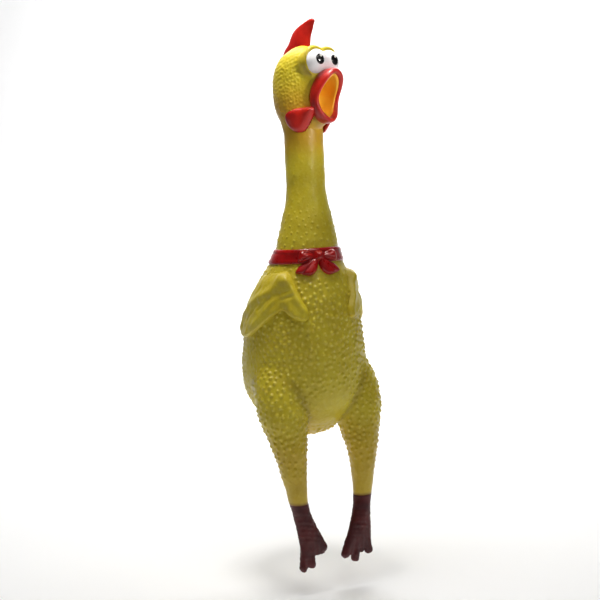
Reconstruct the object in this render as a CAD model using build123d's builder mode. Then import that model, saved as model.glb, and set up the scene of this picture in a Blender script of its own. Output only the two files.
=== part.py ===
"""Squeaking rubber chicken: a hollow soft vinyl bird, 500 mm from comb tip to toe tips.

Millimetres, +Z up. The origin is on the neck's axis, in the middle of the straight stretch
that a hand holds. The bird hangs upright and faces -Y, so its right side is at -X.
Places are written as (sideways, forward, height), with forward measured along -Y.
The head pieces are modelled looking straight ahead, then turned with the head.
"""

import os

from build123d import *

# ---------------------------------------------------------------- driving dimensions
WALL = 2.5                  # thickness of the moulded skin
BODY_GAP = 0.4              # clearance left between two regions that flex on each other
NECK_RADIUS = 18.1          # straight neck that the hand holds
GRIP_LENGTH = 24.0          # length of that straight stretch
HEAD_TURN = 18.0            # degrees the head is turned to the bird's own left
BOW_TURN = -8.0             # degrees the bow sits round towards the bird's right
HEAD_PIVOT = 26.0           # height of the bend between neck and head
HEAD_BALL = 20.0            # radius of that bend's rounded end
BODY_PIVOT = -50.0          # height of the bend between neck and body
BODY_BALL = 28.0
HIP = (37.5, 17.0, -246.0)  # bend of the leg below the thigh
HIP_BALL = 19.0
ANKLE = (33.0, 23.5, -301.0)
ANKLE_BALL = 9.5
SIDES = {"right": -1, "left": 1}

CROWN = 116.0               # height of the top of the skull
BELLY_END = -237.0          # height of the body's lowest point

# Oval sections: (height, forward, half width, half depth)
HEAD_OVALS = (
    (30, 0, NECK_RADIUS, NECK_RADIUS),
    (38, 0, 18.1, 18.3),
    (46, -1, 18.9, 19.2),
    (56, -2.5, 21.6, 22.0),
    (67, -3.5, 23.2, 23.8),
    (78, -4, 23.4, 24.2),
    (89, -3, 23.0, 24.4),
    (100, -0.8, 20.8, 23.0),
    (108, 1.5, 16.8, 19.0),
    (113, 3.5, 11.5, 13.0),
    (CROWN, 4.5, 3.0, 3.5),
)
HEAD_HOLLOW = HEAD_OVALS[:-1] + ((CROWN - WALL, 4.5, 6.0, 7.0),)
NECK_TOP = 32.0
NECK_OVALS = (
    (-GRIP_LENGTH / 2, 0, NECK_RADIUS, NECK_RADIUS),
    (-26, 0, 20.0, 20.0),
    (-40, -0.6, 23.3, 23.3),
    (-52, -1.2, 26.0, 26.0),
)
TORSO_OVALS = (
    (-52, -1.4, 26.1, 26.1),
    (-60, -2, 27.8, 27.8),
    (-68, -3, 29.0, 29.4),
    (-80, -6.5, 33.5, 34.5),
    (-92, -9.5, 40.0, 41.5),
    (-108, -12, 46.0, 48.0),
    (-134, -17, 52.5, 56.0),
    (-161, -20, 56.5, 60.5),
    (-188, -21, 57.0, 60.5),
    (-206, -20, 54.0, 56.5),
    (-221, -15, 43.5, 45.0),
    (-231, -11, 28.5, 28.0),
    (BELLY_END, -9, 9.0, 9.0),
)
TORSO_HOLLOW = TORSO_OVALS[:-1] + ((BELLY_END + WALL, -9, 12.0, 12.0),)
# Leg sections: (height, forward, radius, sideways)
THIGH_OVALS = (
    (-170, 0, 12.0, 34.0),
    (-188, 3.5, 22.0, 37.0),
    (-206, 7, 24.0, 38.0),
    (-221, 10.5, 22.4, 38.4),
    (-232, 13.5, 19.4, 38.0),
    (-243, 16.5, 17.0, 37.6),
)
SHANK_OVALS = (
    (-242, 16.3, 17.2, 37.6),
    (-256, 19.5, 14.2, 37.0),
    (-270, 21.5, 11.9, 36.0),
    (-284, 22.7, 10.1, 34.7),
    (-301, 23.5, 8.4, 33.0),
)
# Foot sections: (height, forward, half width, half depth, sideways)
FOOT_OVALS = (
    (-298, 23.4, 8.4, 8.4, 33.2),
    (-308, 24.7, 8.2, 8.0, 31.4),
    (-320, 27, 9.8, 7.0, 28.6),
    (-334, 29.5, 12.6, 5.6, 25.2),
    (-343, 31, 14.4, 4.6, 23.2),
)
TOE_FORWARD = 31.0
TOE_ROOT = (24.0, -332.0)   # sideways and height where the toes meet
TOE_RADIUS = 4.0
TOE_TIPS = {                # (sideways, height) of each toe's end, outer toe first
    "right": ((31.5, -356.6), (22.5, -354.5), (11.5, -341.0)),
    "left": ((31.5, -346.0), (19.0, -353.0), (9.5, -348.5)),
}

# Head features
EYE_CENTRE = (9.6, 22.9, 99.7)
EYE_RADIUS = 11.3
PUPIL_SIZE = (5.4, 6.1)     # half width and half height of the painted oval
PUPIL_SLANT = 18.0
PUPIL_RAISE = 1.0           # how far the pupil sits above the eye's middle
PAINT = 0.3
MOUTH_CENTRE = 68.0
LIP_OVAL = (17.0, 25.0)     # half width and half height of the lips' outside
MOUTH_OVAL = (11.0, 17.0)   # the same for the mouth's opening
MUZZLE_OVAL = (16.0, 23.5)  # the same for the snout that backs the lips
LINER = 1.4
# Side view of the gape, from the upper tip round the corner to the lower tip
LIP_FRONT = ((45, 92), (43, 85), (36, 76), (30.5, 67), (31, 58), (33.5, 51), (34.5, 44))
LIP_BACK = ((33, 96), (31, 89), (25.5, 78), (23.5, 67), (23.5, 56), (25, 47), (25, 41))
COMB_OVALS = (
    (104, -5, 4.6, 17.8),
    (109.5, -4.6, 4.5, 18.0),
    (115, -3.2, 4.2, 16.6),
    (120.5, -0.2, 3.9, 14.4),
    (125.6, 2.0, 3.5, 13.2),
    (130.5, 4.8, 3.0, 12.4),
    (134.5, 8.6, 2.5, 9.8),
    (137.8, 13.8, 1.9, 5.8),
    (139.5, 16.6, 1.1, 2.8),
)
WATTLE_OUTLINE = ((27, 57), (14, 58), (2, 57), (-1.5, 50), (3, 41), (11, 36), (18, 41), (24, 50))
WATTLE_REACH = (14.0, 23.6)

# Squeaker in the throat, its axis pointing forward out of the mouth
WHISTLE_HEIGHT = 66.0
WHISTLE_BACK = -15.0
WHISTLE_FRONT = 11.0
BARREL_RADIUS = 8.6
BARREL_BORE = 7.4
OUTLET_RADIUS = 4.0
INLET_RADIUS = 1.3
INLETS = 4
BED_HEIGHT = -0.6           # flat of the reed's bed, below the whistle's axis
REED_SIZE = (6.0, 17.0, 0.35)
REED_LIFT = 0.45            # gap under the reed's free end
REED_START = 1.0
WEDGE_LENGTH = 6.0
WEDGE_GAP = 0.25            # room for the reed's tail to rock under the wedge
MOUTH_BACK = 13.0           # how far back the mouth's cup reaches

# Wings, back panel and bow, as outlines seen from the side or from the front
WING_OUTLINE = ((2, -85), (11, -88), (18, -96), (27, -112), (34, -126), (33, -131.5), (24, -128.5),
                (12, -130), (-6, -135), (-24, -145), (-40, -148), (-47, -141), (-43, -124),
                (-33, -104), (-16, -89))
WING_PROUD = 5.5
PANEL_CENTRE = -167.0       # the part of the back that is pressed in to sound the squeaker
PANEL_OVAL = (33.0, 40.0)
BAND_TOP = -67.5
BAND_BOTTOM = -80.5
BAND_PROUD = 2.3
BOW_HEIGHT = -74.0
LOOP_OUTLINE = ((2.5, 0), (8, 4.5), (14, 6), (17.5, 4), (18, -3), (15, -6), (8, -4.5))
LOOP_PROUD = 6.0
TAIL_OUTLINE = ((1.5, -1), (7, -5), (14, -10), (17, -16), (12.5, -16.5), (7, -18), (4.5, -12))
TAIL_PROUD = 4.2
KNOT_HALF = (4.6, 5.2)
KNOT_PROUD = 8.0
FRONT_REACH = 120.0         # far enough to pass right through the bird


# ---------------------------------------------------------------- helpers
def oval_sections(ovals, inset=0.0):
    """Level oval faces for a loft up the bird, each grown or shrunk by an inset."""
    faces = []
    for height, forward, half_width, half_depth in ovals:
        with BuildSketch(Plane((0, -forward, height))) as section:
            Ellipse(max(half_width - inset, 0.5), max(half_depth - inset, 0.5))
        faces.append(section.sketch)
    return faces


def limb_sections(ovals, sign, inset=0.0):
    """Level round faces for a loft down one leg."""
    faces = []
    for height, forward, radius, sideways in ovals:
        with BuildSketch(Plane((sign * sideways, -forward, height))) as section:
            Circle(radius - inset)
        faces.append(section.sketch)
    return faces


def side_face(outline):
    """A smooth closed outline in the bird's middle plane, from (forward, height) points."""
    with BuildSketch(Plane.YZ) as face:
        with BuildLine():
            Spline(*[(-forward, height) for forward, height in outline], periodic=True)
        make_face()
    return face.sketch


def gape_face(edge):
    """Everything behind one edge of the gape, seen from the side."""
    with BuildSketch(Plane.YZ) as face:
        with BuildLine():
            curve = Spline(*[(-forward, height) for forward, height in edge])
            Polyline(curve @ 1, (0, (curve @ 1).Y), (0, (curve @ 0).Y), curve @ 0)
        make_face()
    return face.sketch


def front_oval(half_width, half_height, centre):
    """An upright oval in the plane square to the way the bird faces."""
    with BuildSketch(Plane.XZ) as face:
        with Locations((0, centre)):
            Ellipse(half_width, half_height)
    return face.sketch


def front_face(outline, sign):
    """A smooth closed outline in that same plane, mirrored to one side of the bow."""
    with BuildSketch(Plane.XZ) as face:
        with BuildLine():
            Spline(*[(sign * across, BOW_HEIGHT + up) for across, up in outline], periodic=True)
        make_face()
    return face.sketch


def turned(piece, angle):
    """A finished piece turned about the neck's axis."""
    return piece.rotate(Axis.Z, angle)


pieces = {}

# ---------------------------------------------------------------- whole volumes, cut up below
with BuildPart() as head_volume:
    loft(sections=oval_sections(HEAD_OVALS))

with BuildPart() as head_hollow:
    loft(sections=oval_sections(HEAD_HOLLOW, WALL))

with BuildPart() as muzzle:
    extrude(front_oval(*MUZZLE_OVAL, MOUTH_CENTRE), amount=FRONT_REACH)
    extrude(gape_face(LIP_BACK), amount=LIP_OVAL[0], both=True, mode=Mode.INTERSECT)

with BuildPart() as torso_volume:
    loft(sections=oval_sections(TORSO_OVALS))

with BuildPart() as torso_hollow:
    loft(sections=oval_sections(TORSO_HOLLOW, WALL))

# ---------------------------------------------------------------- neck
with BuildPart() as neck_skin:
    with BuildSketch(Plane.XY.offset(NECK_TOP)):
        Circle(NECK_RADIUS)
    extrude(amount=-(NECK_TOP + GRIP_LENGTH / 2))
    loft(sections=oval_sections(NECK_OVALS))
    with BuildSketch(Plane.XY.offset(NECK_TOP)):
        Circle(NECK_RADIUS - WALL)
    extrude(amount=-(NECK_TOP + GRIP_LENGTH / 2), mode=Mode.SUBTRACT)
    loft(sections=oval_sections(NECK_OVALS, WALL), mode=Mode.SUBTRACT)
pieces["neck_skin"] = neck_skin.part

# ---------------------------------------------------------------- head
with BuildPart() as head_skin:
    add(head_volume.part)
    add(muzzle.part)
    add(head_hollow.part, mode=Mode.SUBTRACT)
    with Locations((0, 0, HEAD_PIVOT)):
        Sphere(HEAD_BALL + BODY_GAP, mode=Mode.SUBTRACT)
    extrude(front_oval(*MOUTH_OVAL, MOUTH_CENTRE), amount=FRONT_REACH, mode=Mode.SUBTRACT)
    for sign in SIDES.values():
        with Locations((sign * EYE_CENTRE[0], -EYE_CENTRE[1], EYE_CENTRE[2])):
            Sphere(EYE_RADIUS, mode=Mode.SUBTRACT)
head_pieces = {"head_skin": head_skin.part}

with BuildPart() as beak_rim:
    extrude(front_oval(*LIP_OVAL, MOUTH_CENTRE), amount=FRONT_REACH)
    extrude(front_oval(*MOUTH_OVAL, MOUTH_CENTRE), amount=FRONT_REACH, mode=Mode.SUBTRACT)
    extrude(gape_face(LIP_FRONT), amount=LIP_OVAL[0], both=True, mode=Mode.INTERSECT)
    extrude(gape_face(LIP_BACK), amount=LIP_OVAL[0], both=True, mode=Mode.SUBTRACT)
head_pieces["beak_rim"] = beak_rim.part

with BuildPart() as mouth_liner:
    extrude(front_oval(*MOUTH_OVAL, MOUTH_CENTRE), amount=FRONT_REACH)
    extrude(gape_face(LIP_FRONT), amount=LIP_OVAL[0], both=True, mode=Mode.INTERSECT)
    with Locations((0, 0, MOUTH_CENTRE)):
        Box(FRONT_REACH, 2 * MOUTH_BACK, FRONT_REACH, mode=Mode.SUBTRACT)
    with BuildSketch(Plane.XZ.offset(MOUTH_BACK + LINER)):
        with Locations((0, MOUTH_CENTRE)):
            Ellipse(MOUTH_OVAL[0] - LINER, MOUTH_OVAL[1] - LINER)
    extrude(amount=FRONT_REACH, mode=Mode.SUBTRACT)
    with BuildSketch(Plane.XZ):
        with Locations((0, WHISTLE_HEIGHT)):
            Circle(OUTLET_RADIUS)
    extrude(amount=FRONT_REACH, mode=Mode.SUBTRACT)
head_pieces["mouth_liner"] = mouth_liner.part

for side, sign in SIDES.items():
    eye_place = (sign * EYE_CENTRE[0], -EYE_CENTRE[1], EYE_CENTRE[2])
    with BuildPart() as eye:
        with Locations(eye_place):
            Sphere(EYE_RADIUS)
        with Locations((sign * FRONT_REACH / 2, 0, EYE_CENTRE[2])):
            Box(FRONT_REACH, FRONT_REACH, FRONT_REACH, mode=Mode.INTERSECT)
    head_pieces[f"eye_{side}"] = eye.part

    with BuildPart() as pupil:
        with Locations(eye_place):
            Sphere(EYE_RADIUS + PAINT)
            Sphere(EYE_RADIUS, mode=Mode.SUBTRACT)
        with BuildSketch(Plane.XZ.offset(EYE_CENTRE[1])):
            with Locations((sign * EYE_CENTRE[0], EYE_CENTRE[2] + PUPIL_RAISE)):
                Ellipse(*PUPIL_SIZE, rotation=PUPIL_SLANT)
        extrude(amount=FRONT_REACH, mode=Mode.INTERSECT)
    head_pieces[f"pupil_{side}"] = pupil.part

    with BuildPart() as wattle:
        extrude(side_face(WATTLE_OUTLINE), amount=sign * WATTLE_REACH[1])
        extrude(side_face(WATTLE_OUTLINE), amount=sign * WATTLE_REACH[0], mode=Mode.SUBTRACT)
        add(head_volume.part, mode=Mode.SUBTRACT)
        add(muzzle.part, mode=Mode.SUBTRACT)
        add(beak_rim.part, mode=Mode.SUBTRACT)
    head_pieces[f"wattle_{side}"] = wattle.part

with BuildPart() as comb:
    loft(sections=oval_sections(COMB_OVALS))
    add(head_volume.part, mode=Mode.SUBTRACT)
head_pieces["comb"] = comb.part

# ---------------------------------------------------------------- squeaker inside the head
WHISTLE_PLANE = Plane(origin=(0, -WHISTLE_BACK, WHISTLE_HEIGHT), x_dir=(1, 0, 0), z_dir=(0, -1, 0))
WHISTLE_LENGTH = WHISTLE_FRONT - WHISTLE_BACK

with BuildPart() as whistle_barrel:
    with BuildSketch(WHISTLE_PLANE):
        Circle(BARREL_RADIUS)
        Circle(BARREL_BORE, mode=Mode.SUBTRACT)
    extrude(amount=WHISTLE_LENGTH)
head_pieces["whistle_barrel"] = whistle_barrel.part

with BuildPart() as tone_board:
    with BuildSketch(WHISTLE_PLANE):
        Circle(BARREL_BORE)
        with Locations((0, BED_HEIGHT)):
            Rectangle(2 * BARREL_BORE, 2 * BARREL_BORE, align=(Align.CENTER, Align.MIN), mode=Mode.SUBTRACT)
    extrude(amount=WHISTLE_LENGTH)
    with BuildSketch(WHISTLE_PLANE.offset(WEDGE_LENGTH)):
        with Locations((0, BED_HEIGHT)):
            Rectangle(REED_SIZE[0] / 2, REED_SIZE[0], align=(Align.CENTER, Align.CENTER))
    extrude(amount=WHISTLE_LENGTH, mode=Mode.SUBTRACT)
head_pieces["whistle_tone_board"] = tone_board.part

with BuildPart() as reed:
    with BuildSketch(WHISTLE_PLANE.offset(REED_START)):
        with Locations((0, BED_HEIGHT + REED_LIFT)):
            Rectangle(REED_SIZE[0], REED_SIZE[2], align=(Align.CENTER, Align.MIN))
    extrude(amount=REED_SIZE[1])
head_pieces["whistle_reed"] = reed.part

WEDGE_FLOOR = BED_HEIGHT + REED_LIFT + REED_SIZE[2] + WEDGE_GAP
with BuildPart() as wedge:
    with BuildSketch(WHISTLE_PLANE):
        Circle(BARREL_BORE)
        with Locations((0, WEDGE_FLOOR)):
            Rectangle(2 * BARREL_BORE, 2 * BARREL_BORE, align=(Align.CENTER, Align.MAX), mode=Mode.SUBTRACT)
        with Locations((0, BARREL_BORE)):
            Circle(BARREL_BORE / 2, mode=Mode.SUBTRACT)
    extrude(amount=WEDGE_LENGTH)
head_pieces["whistle_wedge"] = wedge.part

with BuildPart() as whistle_cap:
    with BuildSketch(WHISTLE_PLANE):
        Circle(BARREL_RADIUS)
        with PolarLocations(BARREL_BORE / 2, INLETS, start_angle=180 / INLETS):
            Circle(INLET_RADIUS, mode=Mode.SUBTRACT)
    extrude(amount=-WALL)
head_pieces["whistle_cap"] = whistle_cap.part

with BuildPart() as whistle_seal:
    with BuildSketch(WHISTLE_PLANE.offset(WHISTLE_LENGTH)):
        Circle(BARREL_RADIUS)
        Circle(OUTLET_RADIUS, mode=Mode.SUBTRACT)
    extrude(amount=MOUTH_BACK - WHISTLE_FRONT)
head_pieces["whistle_seal"] = whistle_seal.part

for label, piece in head_pieces.items():
    pieces[label] = turned(piece, HEAD_TURN)

# ---------------------------------------------------------------- body
with BuildPart() as torso_skin:
    add(torso_volume.part)
    for sign in SIDES.values():
        loft(sections=limb_sections(THIGH_OVALS, sign))
    add(torso_hollow.part, mode=Mode.SUBTRACT)
    for sign in SIDES.values():
        loft(sections=limb_sections(THIGH_OVALS, sign, WALL), mode=Mode.SUBTRACT)
        with Locations((sign * HIP[0], -HIP[1], HIP[2])):
            Sphere(HIP_BALL + BODY_GAP, mode=Mode.SUBTRACT)
    with Locations((0, 0, BODY_PIVOT)):
        Sphere(BODY_BALL + BODY_GAP, mode=Mode.SUBTRACT)
    extrude(front_oval(*PANEL_OVAL, PANEL_CENTRE), amount=-FRONT_REACH, mode=Mode.SUBTRACT)
pieces["torso_skin"] = torso_skin.part

with BuildPart() as back_panel:
    add(torso_volume.part)
    add(torso_hollow.part, mode=Mode.SUBTRACT)
    extrude(front_oval(PANEL_OVAL[0] - BODY_GAP, PANEL_OVAL[1] - BODY_GAP, PANEL_CENTRE),
            amount=-FRONT_REACH, mode=Mode.INTERSECT)
pieces["back_panel"] = back_panel.part

with BuildPart() as wing_layer:
    loft(sections=oval_sections(TORSO_OVALS, -WING_PROUD))
    add(torso_volume.part, mode=Mode.SUBTRACT)

for side, sign in SIDES.items():
    with BuildPart() as wing:
        extrude(side_face(WING_OUTLINE), amount=sign * FRONT_REACH)
        add(wing_layer.part, mode=Mode.INTERSECT)
    pieces[f"wing_{side}"] = wing.part

# ---------------------------------------------------------------- legs and feet
for side, sign in SIDES.items():
    with BuildPart() as leg:
        loft(sections=limb_sections(SHANK_OVALS, sign))
        loft(sections=limb_sections(SHANK_OVALS, sign, WALL), mode=Mode.SUBTRACT)
        with Locations((sign * ANKLE[0], -ANKLE[1], ANKLE[2])):
            Sphere(ANKLE_BALL + BODY_GAP, mode=Mode.SUBTRACT)
    pieces[f"leg_{side}"] = leg.part

    foot_faces = []
    for height, forward, half_width, half_depth, sideways in FOOT_OVALS:
        with BuildSketch(Plane((sign * sideways, -forward, height))) as section:
            Ellipse(half_width, half_depth)
        foot_faces.append(section.sketch)
    toe_root = Vector(sign * TOE_ROOT[0], -TOE_FORWARD, TOE_ROOT[1])
    with BuildPart() as foot:
        loft(sections=foot_faces)
        for across, height in TOE_TIPS[side]:
            toe_tip = Vector(sign * across, -TOE_FORWARD, height)
            toe = toe_tip - toe_root
            with Locations(Plane(origin=toe_root, z_dir=toe)):
                Cylinder(TOE_RADIUS, toe.length, align=(Align.CENTER, Align.CENTER, Align.MIN))
            with Locations(toe_tip):
                Sphere(TOE_RADIUS)
    pieces[f"foot_{side}"] = foot.part

# ---------------------------------------------------------------- ribbon and bow round the neck's base
with BuildPart() as neck_band:
    loft(sections=oval_sections(TORSO_OVALS, -BAND_PROUD))
    add(torso_volume.part, mode=Mode.SUBTRACT)
    with Locations((0, 0, (BAND_TOP + BAND_BOTTOM) / 2)):
        Box(FRONT_REACH, FRONT_REACH, BAND_TOP - BAND_BOTTOM, mode=Mode.INTERSECT)
pieces["neck_band"] = neck_band.part


def bow_layer(proud):
    """The layer over the neck's base that a bow piece is cut from."""
    with BuildPart() as layer:
        loft(sections=oval_sections(TORSO_OVALS, -proud))
        add(torso_volume.part, mode=Mode.SUBTRACT)
        add(neck_band.part, mode=Mode.SUBTRACT)
    return layer.part


with BuildPart() as knot_block:
    extrude(front_oval(*KNOT_HALF, BOW_HEIGHT), amount=FRONT_REACH)
knot_column = turned(knot_block.part, BOW_TURN)

for side, sign in SIDES.items():
    with BuildPart() as loop_column:
        extrude(front_face(LOOP_OUTLINE, sign), amount=FRONT_REACH)
    with BuildPart() as bow_loop:
        add(turned(loop_column.part, BOW_TURN))
        add(bow_layer(LOOP_PROUD), mode=Mode.INTERSECT)
        add(knot_column, mode=Mode.SUBTRACT)
    pieces[f"bow_loop_{side}"] = bow_loop.part

    with BuildPart() as tail_column:
        extrude(front_face(TAIL_OUTLINE, sign), amount=FRONT_REACH)
    with BuildPart() as bow_tail:
        add(turned(tail_column.part, BOW_TURN))
        add(bow_layer(TAIL_PROUD), mode=Mode.INTERSECT)
        add(bow_loop.part, mode=Mode.SUBTRACT)
        add(knot_column, mode=Mode.SUBTRACT)
    pieces[f"bow_tail_{side}"] = bow_tail.part

with BuildPart() as bow_knot:
    add(knot_column)
    add(bow_layer(KNOT_PROUD), mode=Mode.INTERSECT)
pieces["bow_knot"] = bow_knot.part

# ---------------------------------------------------------------- write every piece
os.makedirs("parts", exist_ok=True)
for label, piece in pieces.items():
    piece.label = label
    export_step(piece, f"parts/{label}.step")
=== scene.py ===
"""The looks of a squeaking rubber chicken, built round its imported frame.

Shapes are in millimetres, +Z up, with the bird facing -Y and its right side at -X. Places are
(sideways, forward, height), forward being -Y. They turn into metres as each mesh is made. The
soft skin is the zero surface of smooth fields, studded with raised pimples. The painted
features are separate closed pieces that lie on it.
"""

from math import cos, dist, hypot, pi, radians, sin

import bpy
import numpy as np
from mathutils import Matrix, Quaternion, Vector
from mathutils.kdtree import KDTree


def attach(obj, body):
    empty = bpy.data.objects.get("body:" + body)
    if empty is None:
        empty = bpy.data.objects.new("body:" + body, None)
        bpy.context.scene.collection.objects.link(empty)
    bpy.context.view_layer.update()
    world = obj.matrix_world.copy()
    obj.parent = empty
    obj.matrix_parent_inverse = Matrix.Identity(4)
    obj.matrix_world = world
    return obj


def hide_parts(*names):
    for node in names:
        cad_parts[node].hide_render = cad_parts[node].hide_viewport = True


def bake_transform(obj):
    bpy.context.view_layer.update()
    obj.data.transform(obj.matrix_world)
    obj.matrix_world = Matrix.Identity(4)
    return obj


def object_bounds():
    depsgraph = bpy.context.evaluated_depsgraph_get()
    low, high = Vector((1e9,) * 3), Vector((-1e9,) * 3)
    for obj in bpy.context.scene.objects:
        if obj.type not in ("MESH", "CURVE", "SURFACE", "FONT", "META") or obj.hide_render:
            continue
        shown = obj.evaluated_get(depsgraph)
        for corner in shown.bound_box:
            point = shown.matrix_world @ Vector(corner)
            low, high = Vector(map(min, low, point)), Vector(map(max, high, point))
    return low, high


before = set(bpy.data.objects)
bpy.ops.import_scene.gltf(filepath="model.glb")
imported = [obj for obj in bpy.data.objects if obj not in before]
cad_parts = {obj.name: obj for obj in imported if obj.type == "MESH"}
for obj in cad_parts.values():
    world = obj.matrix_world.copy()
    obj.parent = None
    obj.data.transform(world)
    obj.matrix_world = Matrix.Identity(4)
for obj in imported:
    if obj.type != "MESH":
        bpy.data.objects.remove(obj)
cad_low, cad_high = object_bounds()
scene = bpy.context.scene

# ---- driving dimensions
METRES = 0.001
TEXTURE_SCALE = 100         # textures are measured in units of 10 mm
SIDES = {"right": -1, "left": 1}
HEAD_TURN = 18.0            # degrees the head is turned to the bird's left
BOW_TURN = -8.0             # degrees the bow sits round towards the bird's right

# Oval sections: (height, forward, half width, half depth) and, off the middle, sideways
NECK_RADIUS = 18.1          # of the straight grip
RIBBON_OVALS = (
    (-60, -2, 27.8, 27.8),
    (-68, -3, 29, 29.4),
    (-80, -6.5, 33.5, 34.5),
)
NECK_OVALS = (
    (20, 0, NECK_RADIUS, NECK_RADIUS),
    (0, 0, NECK_RADIUS, NECK_RADIUS),
    (-12, 0, NECK_RADIUS, NECK_RADIUS),
    (-26, 0, 20, 20),
    (-40, -0.6, 23.3, 23.3),
    (-52, -1.2, 26, 26),
    *RIBBON_OVALS,
)
HEAD_OVALS = (
    (-12, 0, NECK_RADIUS, NECK_RADIUS),
    (12, 0, NECK_RADIUS, NECK_RADIUS),
    (28, 0, NECK_RADIUS, NECK_RADIUS),
    (38, 0, 18.1, 18.3),
    (46, -1, 18.9, 19.2),
    (56, -2.5, 21.6, 22),
    (67, -3.5, 23.2, 23.8),
    (78, -4, 23.4, 24.2),
    (89, -3, 23, 24.4),
    (100, -0.8, 20.8, 23),
    (108, 1.5, 16.8, 19),
    (113, 3.5, 11.5, 13),
    (117, 4.5, 0, 0),
)
MUZZLE_OVALS = (
    (40, 12, 0, 0),
    (46, 13, 11.5, 13),
    (57, 13, 14.6, 14.5),
    (68, 13, 15.4, 15),
    (80, 14.5, 15, 15),
    (90, 17, 12.5, 15),
    (96, 18, 9, 11),
    (100, 18, 0, 0),
)
TORSO_OVALS = (
    (-52, -1.4, 26.1, 26.1),
    *RIBBON_OVALS,
    (-92, -9.5, 40, 41.5),
    (-108, -12, 46, 48),
    (-134, -17, 52.5, 56),
    (-161, -20, 56.5, 60.5),
    (-188, -21, 57, 60.5),
    (-206, -20, 53, 56),
    (-220, -18, 43, 46),
    (-231, -18.5, 31.5, 34),
    (-240, -20.5, 18.5, 20),
    (-243.5, -21, 0, 0),
)
LEG_OVALS = (
    (-166, -1, 0, 0, 33),
    (-188, 3.5, 22, 22, 37),
    (-206, 7, 24, 24, 38),
    (-221, 10.5, 22.4, 22.4, 38.4),
    (-232, 13.5, 19.4, 19.4, 38),
    (-243, 16.4, 17.1, 17.1, 37.6),
    (-256, 19.5, 14.2, 14.2, 37),
    (-270, 21.5, 11.9, 11.9, 36),
    (-284, 22.7, 10.1, 10.1, 34.7),
    (-301, 23.5, 8.4, 8.4, 33),
    (-312, 25.5, 8.0, 7.8, 30.8),
)
FOOT_OVALS = (
    (-290, 23, 9.8, 9.8, 34.2),
    (-298, 23.4, 8.7, 8.7, 33.2),
    (-308, 24.7, 8.4, 8.0, 31.4),
    (-320, 27, 9.8, 6.8, 28.6),
    (-332, 29.3, 11.8, 5.0, 25.6),
    (-341, 30.6, 12, 3.4, 23.6),
    (-346, 31, 10, 2.4, 23),
)
TOE_FORWARD = 31.0
TOE_ROOT = (27.5, 26.5, -313.0)
TOE_RADII = (3.8, 4.0)      # at the instep and at the tip
WEB_RADII = (3.6, 2.6)
WEB_SHORT = 1.0             # how much sooner a web ends than the shorter of its two toes
TOE_TIPS = {                # (sideways, height) of each toe's end, outer toe first
    "right": ((35.0, -356.0), (26.6, -353.8), (14.4, -339.8)),
    "left": ((33.0, -350.0), (18.6, -355.2), (8.4, -350.6)),
}
PAINT_LINE = -299.0         # height where the yellow leg meets the painted foot

NECK_CUT = 0.0              # heights at which the one skin is cut into pieces
BAND_CUT = -71.0
CROTCH_CUT = -244.5
KNEE_CUT = -268.0
FOOT_CUT = PAINT_LINE - 6   # the leg's skin ends inside the foot
BACK_CUT = 20.0             # how far back the body's rear piece starts

# Boxes that hold each surface: its lowest and highest corner, y being backward, and its step
HEAD_SPACE = ((-30, -46, -76), (40, 34, 121), 1.1)
BODY_SPACE = ((-66, -46, -312), (66, 86, -60), 1.6)
FOOT_SPACE = ((0, -40, -364), (48, -12, -286), 0.9)
EYE_REACH, EYE_STEP = (23, 17, 13), 0.8

# Where the skin and feet bend from one body to the next: places of the start and end
HEAD_BEND = ((0, 0, 12), (0, 0, 40))
NECK_BEND = ((0, 0, -32), (0, 0, -66))
HIP_BEND = ((0, 0, -245), (0, 0, -264))
ANKLE_BEND = ((0, 0, -290), (0, 0, -312))
BACK_BEND = ((0, 40, 0), (0, 82, 0))

EYE_CENTRE = (7.9, 25.6, 99.7)
EYE_RADIUS = 11.5
EYE_JOIN = 6                # how softly the two eyeballs run together
SOCKET_RADIUS = 12.2
SOCKET_BACK = 4.2           # the socket's middle lies this far behind the brow
BROW_THICKNESS = 2.5
BROW_AHEAD = 0.8            # the brow stands this far in front of the eye's middle
PUPIL_SIZE = (4.8, 5.6)
PUPIL_GAZE = {"right": -16.0, "left": -3.0}   # degrees each pupil looks to the bird's left
PUPIL_SLANT = 18.0
PUPIL_RAISE = 1.0
GLINT_SIZE = (1.0, 1.2)
GLINT_SPOT = (0.5, 3.8)     # across and up from the eye's middle, before the slant
MOUTH_CENTRE = 68.6
LIP_OVAL = (15.3, 24.4)
MOUTH_OVAL = (10.9, 18.4)
MOUTH_POINT = 1.3           # above 1, the gape narrows faster towards its top and bottom
MOUTH_BACK = 13.0
MOUTH_WALL = 1.2            # thickness of the orange cup
OUTLET_HEIGHT = 66.0
OUTLET_RADIUS = 4.0
# Side view of the gape: (height, forward)
LIP_FRONT = ((92, 46.3), (85, 44.6), (76, 39), (67, 33.8), (58, 33.6), (51, 36), (44, 38))
LIP_BACK = ((96, 34), (89, 32), (78, 28.6), (67, 27.2), (56, 26.8), (47, 27), (41, 27))
LIP_ROOT = 3.6              # how far the lips run on into the skin
COMB_OVALS = (
    (103, -5, 4.6, 17.8),
    (109, -4.8, 4.5, 18.2),
    (114.5, -3.4, 4.2, 16.8),
    (120.5, 0, 3.9, 14.2),
    (125.6, 2, 3.5, 13.2),
    (130.5, 4.8, 3.0, 12.6),
    (134.5, 8.6, 2.5, 10.2),
    (138, 14.0, 1.9, 6.2),
    (140, 16.2, 0, 0),
)
COMB_SHOULDER = 136         # the comb's rows draw closer together from here to its point
WATTLE_OUTLINE = (          # (forward, height)
    (27.5, 56.5), (23, 59), (13, 59.2), (4, 57), (-0.5, 53.5),
    (-1.2, 47.5), (2.5, 41.5), (9, 38), (14.5, 39.5), (21, 46.5),
)
WATTLE_PROUD = 3.9
SNOUT_SIDE = 14.5           # half width of the head beside the mouth

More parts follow.
